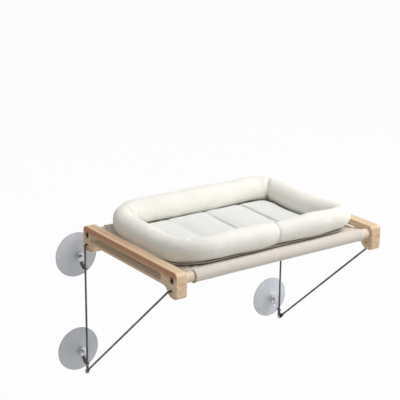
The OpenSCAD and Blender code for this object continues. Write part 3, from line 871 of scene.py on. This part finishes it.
def rod_shape(height, hook_end, rod_x, paddle_l):
    """A rod that stands on its rivet hole at the origin's height and hooks towards hook_end at height."""
    tip = PADDLE_W / 2
    flat_end = [-tip * cos(a) for a in np.linspace(0.02, pi / 2, 9)[:-1]]
    press_start = paddle_l - PRESSED_L * 0.4
    flat = list(np.linspace(0, press_start, 5))
    press = list(np.linspace(press_start, paddle_l + PRESSED_L, 12)[1:])
    shaft = list(np.linspace(press[-1], height - ROD_BEND_R, 12)[1:])
    path = [Vector((rod_x, 0, z)) for z in flat_end + flat + press + shaft]
    bend_x, bend_z = rod_x - ROD_BEND_R, height - ROD_BEND_R
    for a in [radians(9 * k) for k in range(1, 11)]:
        path.append(Vector((bend_x + ROD_BEND_R * cos(a), 0, bend_z + ROD_BEND_R * sin(a))))
    path += [Vector((hook_end + off * MM, 0, height)) for off in (4, 0.5, 0.15, 0)]
    last = len(path) - 1

    def section(k):
        z = path[k].z
        if k >= last - 1:
            end_r = ROD_D / 2 - (0.15 if k == last - 1 else 0.5) * MM
            return squircle(end_r, end_r)
        flatness = 1 - eased((z - press_start) / (PRESSED_L * 1.4))
        half_w = ROD_D / 2 + flatness * (PADDLE_W - ROD_D) / 2
        half_t = ROD_D / 2 + flatness * (PADDLE_T - ROD_D) / 2
        if z < 0:
            half_w = sqrt(max(0.0, tip * tip - z * z)) + 0.05 * MM
            half_t *= 0.82 + 0.18 * min(1.0, half_w / tip * 2)
        return squircle(half_w, half_t, 2 + 3.5 * flatness)

    return swept(path, Vector((0, 1, 0)), section)


def flipped(side_name):
    """Brings a right hand shape to its own side."""
    return Matrix.Scale(SIDES[side_name], 4, Vector((1, 0, 0)))


def rods(side_name):
    flip = flipped(side_name)
    upright = rod_shape(PIVOT_Z - RIVET_Z, OUTER_X - PEG_L, ROD_X, UPRIGHT_PADDLE_L)
    foot = Matrix.Translation((0, BACK_Y, RIVET_Z))
    new_piece(side_name + "_upright_rod", placed(upright, flip @ foot), "rod",
              side_name + "_brace", [side_name + "_upright"])
    run, rise = BACK_Y - FRONT_Y, PIVOT_Z - RIVET_Z
    lean = Matrix.Rotation(atan2(run, rise), 4, "X")
    strut = rod_shape(hypot(run, rise), OUTER_X + TIP_GAP, STRUT_X, STRUT_PADDLE_L)
    new_piece(side_name + "_strut_rod", placed(strut, flip @ foot @ lean), "rod",
              side_name + "_strut_arm", [side_name + "_strut"])


def rivet(side_name):
    head_h, head_r, shank_r = 1.6 * MM, 3.7 * MM, 2 * MM
    length = extent("right_rivet")[0]
    dome = [(head_r * sin(a), head_h * (1 - cos(a))) for a in np.linspace(0, pi / 2, 8)]
    profile = dome + [(shank_r, head_h), (shank_r, length - head_h)]
    profile += [(r, length - h) for r, h in dome[::-1]]
    inner_end = Matrix.Translation((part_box("right_rivet")[0].x, BACK_Y, RIVET_Z))
    stand = flipped(side_name) @ (inner_end @ Matrix.Rotation(pi / 2, 4, "Y"))
    new_piece(side_name + "_domed_rivet", placed(turned(profile, 32), stand), "bright",
              side_name + "_brace", [side_name + "_rivet"], sharp=50)


for side_name in SIDES:
    rods(side_name)
    rivet(side_name)


# Suction cups with their brackets

NECK_R = 9 * MM
CROWN_R = 16 * MM
CROWN_T = 6 * MM
LIP_T = 1.2 * MM
HOLLOW = 2.4 * MM
RIM_W = 4 * MM
STUD_R = 2.5 * MM
FLANGE_R = 6 * MM
FLANGE_T = 1.6 * MM
FLANGE_Z = 7.6 * MM
PLATE_R = 9.5 * MM
PLATE_T = 1.4 * MM
LEG_W = 7.4 * MM
LEG_BEND_DROP = 9.5 * MM
TAB_ROOT = 6 * MM
TAB_REACH = 4.4 * MM
NUT_W = 8 * MM
NUT_H = 4 * MM
THREAD_PITCH = 0.8 * MM
THREAD_DEPTH = 0.3 * MM
# From a cup's centre up to the underside of its tab
TAB_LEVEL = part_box("right_upper_bracket")[0].z - CUP_Z["upper"]


def cup_shape():
    """A cup on the glass at Z 0: dished skirt, crown, and a neck with a pocket for the stud."""
    pocket_r, pocket_top = FLANGE_R + FIT, FLANGE_Z + FLANGE_T + FIT
    bore_r = STUD_R + FIT
    neck_foot = CROWN_T + (CROWN_R - NECK_R) / 2
    rim_start = 1 - RIM_W / CUP_R
    hollow = [(CUP_R * share, HOLLOW * cos(pi / 2 * min(1, share / rim_start)))
              for share in np.linspace(0, rim_start, 14)]
    outer = rounded([
        (CUP_R, 0, 0), (CUP_R, LIP_T, 0.5 * MM), ((CUP_R + CROWN_R) / 2, (LIP_T + CROWN_T) / 2, 60 * MM),
        (CROWN_R, CROWN_T, 5 * MM), (NECK_R, neck_foot, 4 * MM), (NECK_R, NECK_L, 0.8 * MM),
        (bore_r, NECK_L, 0.3 * MM), (bore_r, pocket_top, 0), (pocket_r, pocket_top, 0.4 * MM),
        (pocket_r, FLANGE_Z - FIT, 0.4 * MM), (0, FLANGE_Z - FIT, 0)], closed=False, steps=6)
    return turned(hollow + outer, 72)


def stud_shape():
    """A stud with its flange, and a thread that starts above the flange."""
    length = NECK_L - FLANGE_Z + PLATE_T + NUT_H + 1.5 * MM
    root_r = STUD_R - THREAD_DEPTH
    flange = rounded([(0, 0, 0), (FLANGE_R, 0, 0.3 * MM), (FLANGE_R, FLANGE_T, 0.3 * MM),
                      (root_r, FLANGE_T, 0.2 * MM), (root_r, FLANGE_T + 1 * MM, 0)], closed=False)
    base = turned(flange, 24)
    segments, per_turn = 24, 8
    heights = np.arange(FLANGE_T + 0.9 * MM, length - 0.4 * MM, THREAD_PITCH / per_turn)

    def on_thread(h, j):
        phase = (h / THREAD_PITCH - j / segments) % 1
        root = min(1.0, 2.4 * abs(phase - 0.5))
        return around(STUD_R - THREAD_DEPTH * root, FULL_TURN * j / segments, h)

    rings = [[on_thread(h, j) for j in range(segments)] for h in heights]
    end = [Vector((p.x * 0.8, p.y * 0.8, length)) for p in rings[-1]]
    bottom = [Vector((0, 0, heights[0]))]
    thread = skin([bottom] + rings + [end, [Vector((0, 0, length))]], closed=False)
    return raised(joined(base, thread), FLANGE_Z)


def nut_shape():
    """A hexagon nut with chamfered corners and a countersunk hole."""
    segments = 72
    hole_r, face_r = STUD_R + FIT, NUT_W / 2 * 0.96
    chamfer = 0.5 * MM
    steps = [(hole_r + chamfer, 0), (face_r, 0), (None, 0.25 * MM), (None, 0.6 * MM),
             (None, NUT_H - 0.6 * MM), (None, NUT_H - 0.25 * MM), (face_r, NUT_H),
             (hole_r + chamfer, NUT_H), (hole_r, NUT_H - chamfer), (hole_r, chamfer)]

    def on_nut(r, h, j):
        a = FULL_TURN * j / segments
        to_face = (a + pi / 6) % (pi / 3) - pi / 6
        hexagon_r = min(NUT_W / 2 / cos(to_face), face_r + min(h, NUT_H - h) * 1.7)
        return around(hexagon_r if r is None else r, a, h)

    rings = [[on_nut(r, h, j) for j in range(segments)] for r, h in steps]
    return raised(skin(rings), NECK_L + PLATE_T)


def bracket_shape():
    """A round plate on the neck, and a leg bent down from it to a tab round the rod."""
    bore_r = STUD_R + FIT
    edge = 0.3 * MM
    section = rounded_box((bore_r, 0), (PLATE_R, PLATE_T), edge)
    plate = raised(turned(section, closed=True), NECK_L)
    root_out, end_out = -BACK_Y - TAB_ROOT, -BACK_Y + TAB_REACH
    leg_out, tab_mid = NECK_L + PLATE_T / 2, TAB_LEVEL + PLATE_T / 2
    path = rounded([(leg_out, -STUD_R - 2 * MM, 0), (leg_out, -LEG_BEND_DROP, 2.5 * MM),
                    (root_out, tab_mid, 2.5 * MM), (root_out + 2 * MM, tab_mid, 0)], closed=False, steps=6)
    leg = swept([Vector((0, v, u)) for u, v in path], Vector((1, 0, 0)),
                lambda k: squircle(LEG_W / 2, PLATE_T / 2, 7, 28))
    start, half_w, corner_r = root_out + 1.6 * MM, LEG_W / 2, 2.4 * MM
    outline = rounded([(start, -half_w, 0), (end_out, -half_w, corner_r), (end_out, half_w, corner_r),
                       (start, half_w, 0)], steps=6)
    hole = bore_rings((-BACK_Y, 0), bore(ROD_HOLE_R, PLATE_T, edge), 24)
    points, faces = board([edge_rings(outline, PLATE_T, 0.25 * MM, 2), hole])
    tab = [Vector((p.y, TAB_LEVEL + PLATE_T - p.z, p.x)) for p in points], faces
    return plate, joined(leg, tab)


def holder(side_name, level):
    name = f"{side_name}_{level}_"
    # Out of the glass along the piece's own Z
    on_glass = Matrix.Translation((SIDES[side_name] * ROD_X, 0, CUP_Z[level]))
    stand = on_glass @ Matrix.Rotation(pi / 2, 4, "X")
    plate, leg = bracket_shape()
    for title, shape, finish, slot, node_name, sharp in (
            ("suction_cup", cup_shape(), "vinyl", "clear_cup", "cup", None),
            ("threaded_stud", stud_shape(), "bright", "bright_steel", "stud", 40),
            ("hex_nut", nut_shape(), "bright", "bright_steel", "nut", 28),
            ("rod_bracket", joined(plate, leg), "bright, leg", "bright_steel", "bracket", 40)):
        piece = new_piece(name + title, placed(shape, stand), finish, name + "holder",
                          [name + node_name], sharp=sharp)
    # The bracket is the last piece, and its faces after the plate's are the leg's, which take the darker
    # steel colour as painted shade.
    for face in piece.data.polygons[len(plate[1]):]:
        face.material_index = 1


for side_name in SIDES:
    for level in CUP_Z:
        holder(side_name, level)


# Plush bed

BOLSTER_H = 51 * MM
BOLSTER_R = 27 * MM
BOLSTER_STEP = 5.2 * MM
CORNER_R = 48 * MM
NEST = Vector((BED_HALF.x - 2 * BOLSTER_R, BED_HALF.y - 2 * BOLSTER_R))
SEAM_DEPTH = 5 * MM
UNDERSIDE_T = 1.2 * MM
UNDERSIDE_INSET = 17 * MM
UNDERSIDE_CORNER_R = 58 * MM
RIM_START = 0.93
RIM_RISE = 2.4 * MM
REST_GAP = 0.3 * MM
DECK_TOP_R = SAG_REACH - SLEEVE_R


def deck_top(y):
    """Height of the deck at y from its middle."""
    return SAG_CENTRE_Z - sqrt(DECK_TOP_R ** 2 - y * y)


def lay_in_deck(piece, height=REST_GAP + UNDERSIDE_T + FIT):
    """Moves a piece made round the origin on a flat floor to its height over the sagging deck."""
    for v in piece.data.vertices:
        v.co = Vector((v.co.x, MID_Y + v.co.y, v.co.z + height + deck_top(v.co.y)))
    piece.data.update()


def weigh(piece, name, weights):
    """A vertex group of the points that have a weight."""
    made = piece.vertex_groups.new(name=name)
    for k, weight in enumerate(weights):
        if weight > 0.01:
            made.add([k], float(weight), "REPLACE")


def stuffed(piece, cap, slack, slack_amount, held, frames=20):
    """Swells a closed cloth from inside, and keeps each point within cap of where it started."""
    mesh = piece.data
    start = np.array([v.co for v in mesh.vertices])
    weigh(piece, "slack", slack)
    weigh(piece, "held", held)
    made = modifier(piece, "stuffing", "CLOTH")
    made.collision_settings.use_collision = False
    set_up(made.point_cache, frame_start=1, frame_end=frames)
    set_up(made.settings, quality=6, mass=0.2, tension_stiffness=12, compression_stiffness=12,
           shear_stiffness=6, bending_stiffness=0.3, use_pressure=True, uniform_pressure_force=4.0,
           vertex_group_shrink="slack", shrink_min=0.0, shrink_max=-slack_amount,
           vertex_group_mass="held")
    made.settings.effector_weights.gravity = 0
    scene = bpy.context.scene
    for f in range(1, frames + 1):
        scene.frame_set(f)
    shown = piece.evaluated_get(bpy.context.evaluated_depsgraph_get()).to_mesh()
    move = np.array([v.co for v in shown.vertices]) - start
    length = np.linalg.norm(move, axis=1, keepdims=True)
    end = start + move * np.minimum(1, cap / np.maximum(length, 1e-9))
    piece.modifiers.remove(made)
    mesh.vertices.foreach_set("co", end.astype(np.float32).ravel())
    mesh.update()
    scene.frame_set(1)


def applied(piece):
    """Keeps what a piece's modifiers make of its mesh."""
    shown = piece.evaluated_get(bpy.context.evaluated_depsgraph_get())
    made = bpy.data.meshes.new_from_object(shown)
    piece.modifiers.clear()
    piece.data = made
    return made


def smoother(piece):
    """Subdivides a piece once."""
    modifier(piece, "smooth", "SUBSURF", levels=1, render_levels=1)
    applied(piece).shade_smooth()


def shaped(piece, move):
    """Moves each point of a piece by move(place, normal)."""
    mesh = piece.data
    normals = [v.normal.copy() for v in mesh.vertices]
    for v, n in zip(mesh.vertices, normals):
        v.co += move(v.co, n)
    mesh.update()


def ring_stations(spacing):
    """Places round the bolster's centre line: (x, y, outward angle, share of the way round a corner)."""
    line_x, line_y = BED_HALF.x - BOLSTER_R, BED_HALF.y - BOLSTER_R
    straight_x, straight_y = line_x - CORNER_R, line_y - CORNER_R
    found = []

    def on_corner(cx, cy, a):
        return cx * straight_x + CORNER_R * cos(a), cy * straight_y + CORNER_R * sin(a)

    for cx, cy, a0 in ((1, 1, 0), (-1, 1, 90), (-1, -1, 180), (1, -1, 270)):
        count = round(CORNER_R * pi / 2 / spacing)
        for k in range(count):
            a = radians(a0 + 90 * k / count)
            found.append((*on_corner(cx, cy, a), a, sin(pi * k / count)))
        a = radians(a0 + 90)
        side_l = 2 * (straight_x if a0 in (0, 180) else straight_y)
        step = Vector((-sin(a), cos(a)))
        count = round(side_l / spacing)
        sx, sy = on_corner(cx, cy, a)
        for k in range(count):
            found.append((sx + step.x * side_l * k / count, sy + step.y * side_l * k / count, a, 0.0))
    return found


def corner_fold(x, y):
    """Share and sideways distance of the fold where a point lies off an inner corner of the bolster."""
    off = Vector((abs(x) - NEST.x - 3 * MM, abs(y) - NEST.y - 3 * MM))
    outwards, sideways = (off.x + off.y) / sqrt(2), (off.x - off.y) / sqrt(2)
    return eased((outwards + 8 * MM) / (8 * MM)) * (1 - eased(outwards / (28 * MM))), sideways


def bolster():
    slim, points_round = 0.9, 36
    rings, slack = [], []
    half_h = BOLSTER_H / 2
    for x, y, a, corner in ring_stations(BOLSTER_STEP):
        ring = []
        plump = 1 + 0.025 * noise((x * 18, y * 18, 1.0))
        for j in range(points_round):
            q = FULL_TURN * j / points_round
            inner = max(0.0, -cos(q))
            out = BOLSTER_R * slim * plump * cos(q) + 6 * MM * corner ** 3 * inner
            up = half_h * (1 + slim * plump * sin(q))
            ring.append(Vector((x + out * cos(a), y + out * sin(a), up)))
            slack.append(corner * inner ** 0.5)
        rings.append(ring)
    piece = new_piece("bed_bolster_plush", skin(rings), "bolster", "bed", ["bed_bolster"])
    low = [1.0 if p.z < 3.5 * MM else 0.0 for ring in rings for p in ring]
    stuffed(piece, 9 * MM, slack, slack_amount=0.3, held=low)
    smoother(piece)

    def finish(p, n):
        move = uneven(p, (2.6, 12), (0.9, 36), (0.4, 240))
        if p.y < -NEST.y:
            step = tanh(p.x / (3 * MM)) * bell(p.x, 35 * MM)
            move -= SEAM_DEPTH * bell(p.x, 2 * MM) + 1.4 * MM * bell(p.x, 15 * MM) + 1.1 * MM * step
        share, sideways = corner_fold(p.x, p.y)
        fold, roll = bell(sideways, 3.2 * MM), bell(abs(sideways) - 9 * MM, 5 * MM)
        move += share * (0.8 * MM * roll - 6 * MM * fold)
        return n * move * eased((p.z - 1 * MM) / (3 * MM))

    shaped(piece, finish)
    for v in piece.data.vertices:
        v.co.x = max(-BED_HALF.x, min(BED_HALF.x, v.co.x))
        v.co.z = max(0.2 * MM, v.co.z)
    lay_in_deck(piece)


def drawn_to(value, reach):
    """Brings places within reach of a seam closer to it, so that the cloth has more points there."""
    return value * abs(value) / reach if abs(value) < reach else value


def base_cushion():
    piece = new_piece("bed_base_quilt", ([], []), "quilt", "bed", ["bed_base"])
    mesh = nodes["bed_base"].data.copy()
    mesh.materials.clear()
    mesh.materials.append(FINISH["quilt"])
    for v in mesh.vertices:
        y = v.co.y - MID_Y
        v.co = Vector((v.co.x, y, v.co.z - deck_top(y) - REST_GAP - UNDERSIDE_T - FIT))
    piece.data = mesh
    channel_w = extent("bed_base")[0] / 4
    modifier(piece, "even cloth", "REMESH", mode="VOXEL", voxel_size=channel_w / 18)
    even = applied(piece)

    def from_seam(x):
        line = max(-1, min(1, round(x / channel_w)))
        return x - line * channel_w

    for v in even.vertices:
        off = from_seam(v.co.x)
        v.co.x += drawn_to(off, 12 * MM) - off
    places = [v.co.copy() for v in even.vertices]
    held = [1.0 if p.z < 3 * MM or abs(from_seam(p.x)) < 1.5 * MM else 0.0 for p in places]
    slack = [bell(from_seam(p.x), 14 * MM) for p in places]
    stuffed(piece, 6 * MM, slack, slack_amount=0.18, held=held)
    smoother(piece)

    def finish(p, n):
        off = abs(from_seam(p.x))
        seam, shallow = bell(off, 1.3 * MM), bell(off, 8 * MM)
        pinch = bell(abs(p.y) - NEST.y, 10 * MM)
        lumps = uneven(p, (1.3, 20), (0.4, 55), (0.3, 260))
        pucker = 0.8 * MM * shallow * noise((p.x * 30, p.y * 110, 5))
        sunk = 2.6 * MM * seam + 1.5 * MM * shallow * pinch
        return n * max(0.0, n.z) * (lumps + pucker - sunk)

    shaped(piece, finish)
    lay_in_deck(piece)
    piece.data.shade_smooth()


def underside():
    """The cloth under the bed, which lies in the deck and turns up a little under the bolster."""
    reach = BED_HALF - Vector((UNDERSIDE_INSET, UNDERSIDE_INSET))
    outline = rounded_box(-reach, reach, UNDERSIDE_CORNER_R, steps=16)

    def ring(share, height):
        rise = RIM_RISE * max(0.0, (share - RIM_START) / (1 - RIM_START)) ** 2
        return [Vector((p[0] * share, p[1] * share, height + rise)) for p in outline]

    shares = [k / 14 for k in range(1, 14)] + [0.955, 0.98, 1.0]
    rings = [[Vector((0, 0, 0))]] + [ring(share, 0) for share in shares] + [ring(1.001, UNDERSIDE_T / 2)]
    rings += [ring(share, UNDERSIDE_T) for share in shares[::-1]] + [[Vector((0, 0, UNDERSIDE_T))]]
    piece = new_piece("bed_underside_cloth", skin(rings, closed=False), "underside",
                      "bed", ["bed_underside"])
    lay_in_deck(piece, REST_GAP)


bolster()
base_cushion()
underside()


# Floor, light and camera

FLOOR_Z = -0.35
FLOOR_HALF = 30.0
LAMP_AIM = Vector((0, -0.18, 0.1))


def emptied(owner):
    """The node tree of a material or a world, with nothing in it."""
    owner.use_nodes = True
    owner.node_tree.nodes.clear()
    return owner.node_tree


def seen_by(tree, *rays):
    """1 for any of these rays."""
    light_path = tree.nodes.new("ShaderNodeLightPath").outputs
    seen = light_path[rays[0]]
    for ray in rays[1:]:
        seen = worked("MAXIMUM", seen, light_path[ray])
    return seen


def floor():
    """A white floor to the camera, which gives a pale grey light back."""
    made = bpy.data.materials.new("pale floor")
    tree = emptied(made)
    share = times(seen_by(tree, "Is Camera Ray", "Is Glossy Ray", "Is Transmission Ray"), 0.96)
    plain = join(tree.nodes.new("ShaderNodeBsdfDiffuse"), {"Color": colour(216, 216, 216)})
    white = join(tree.nodes.new("ShaderNodeEmission"), {"Color": (1, 1, 1, 1), "Strength": 1.0})
    both = node("MixShader", {0: share, 1: plain.outputs[0], 2: white.outputs[0]})
    node("OutputMaterial", {"Surface": both.outputs[0]})
    mesh = bpy.data.meshes.new("floor")
    corners = [(x * FLOOR_HALF, y * FLOOR_HALF, FLOOR_Z) for x, y in ((-1, -1), (1, -1), (1, 1), (-1, 1))]
    mesh.from_pydata(corners, [], [(0, 1, 2, 3)])
    mesh.materials.append(made)
    piece = new_object("floor", mesh)


def surroundings(level):
    """A soft even light from all round, seen as white."""
    world = bpy.data.worlds.new("studio")
    bpy.context.scene.world = world
    tree = emptied(world)
    seen = seen_by(tree, "Is Camera Ray", "Is Transmission Ray")
    strength = spread(seen, 0.0, 1.0, level, 0.985)
    light = node("Background", {"Color": (1, 1, 1, 1), "Strength": strength}).outputs[0]
    node("OutputWorld", {"Surface": light})


def lamp(name, place, size, power):
    """A round soft lamp that shines on the perch."""
    data = set_up(bpy.data.lights.new(name, "AREA"), shape="DISK", size=size, energy=power)
    made = new_object(name, data)
    made.location = place
    made.rotation_euler = (LAMP_AIM - Vector(place)).to_track_quat("-Z", "Y").to_euler()


def camera():
    """The photograph's view: 36 degrees to the left of straight on, and 17 degrees down."""
    azimuth, elevation, roll = radians(35.6), radians(17.32), radians(0.64)
    aim = Vector((-97.1, -206.5, 239.2)) * MM
    distance = 2084 * MM
    back = Vector((-sin(azimuth) * cos(elevation), -cos(azimuth) * cos(elevation), sin(elevation)))
    data = set_up(bpy.data.cameras.new("camera"), lens=101.9, sensor_width=36)
    made = new_object("camera", data)
    made.location = aim + back * distance
    level = (-back).to_track_quat("-Z", "Y").to_matrix().to_4x4()
    made.rotation_euler = (level @ Matrix.Rotation(roll, 4, "Z")).to_euler()
    bpy.context.scene.camera = made


floor()
surroundings(level=0.46)
lamp("key", (1.1, -1.3, 2.4), size=1.8, power=56)
lamp("side", (2.4, -0.6, 0.5), size=3.2, power=30)
camera()
bpy.context.scene.view_settings.view_transform = "Standard"
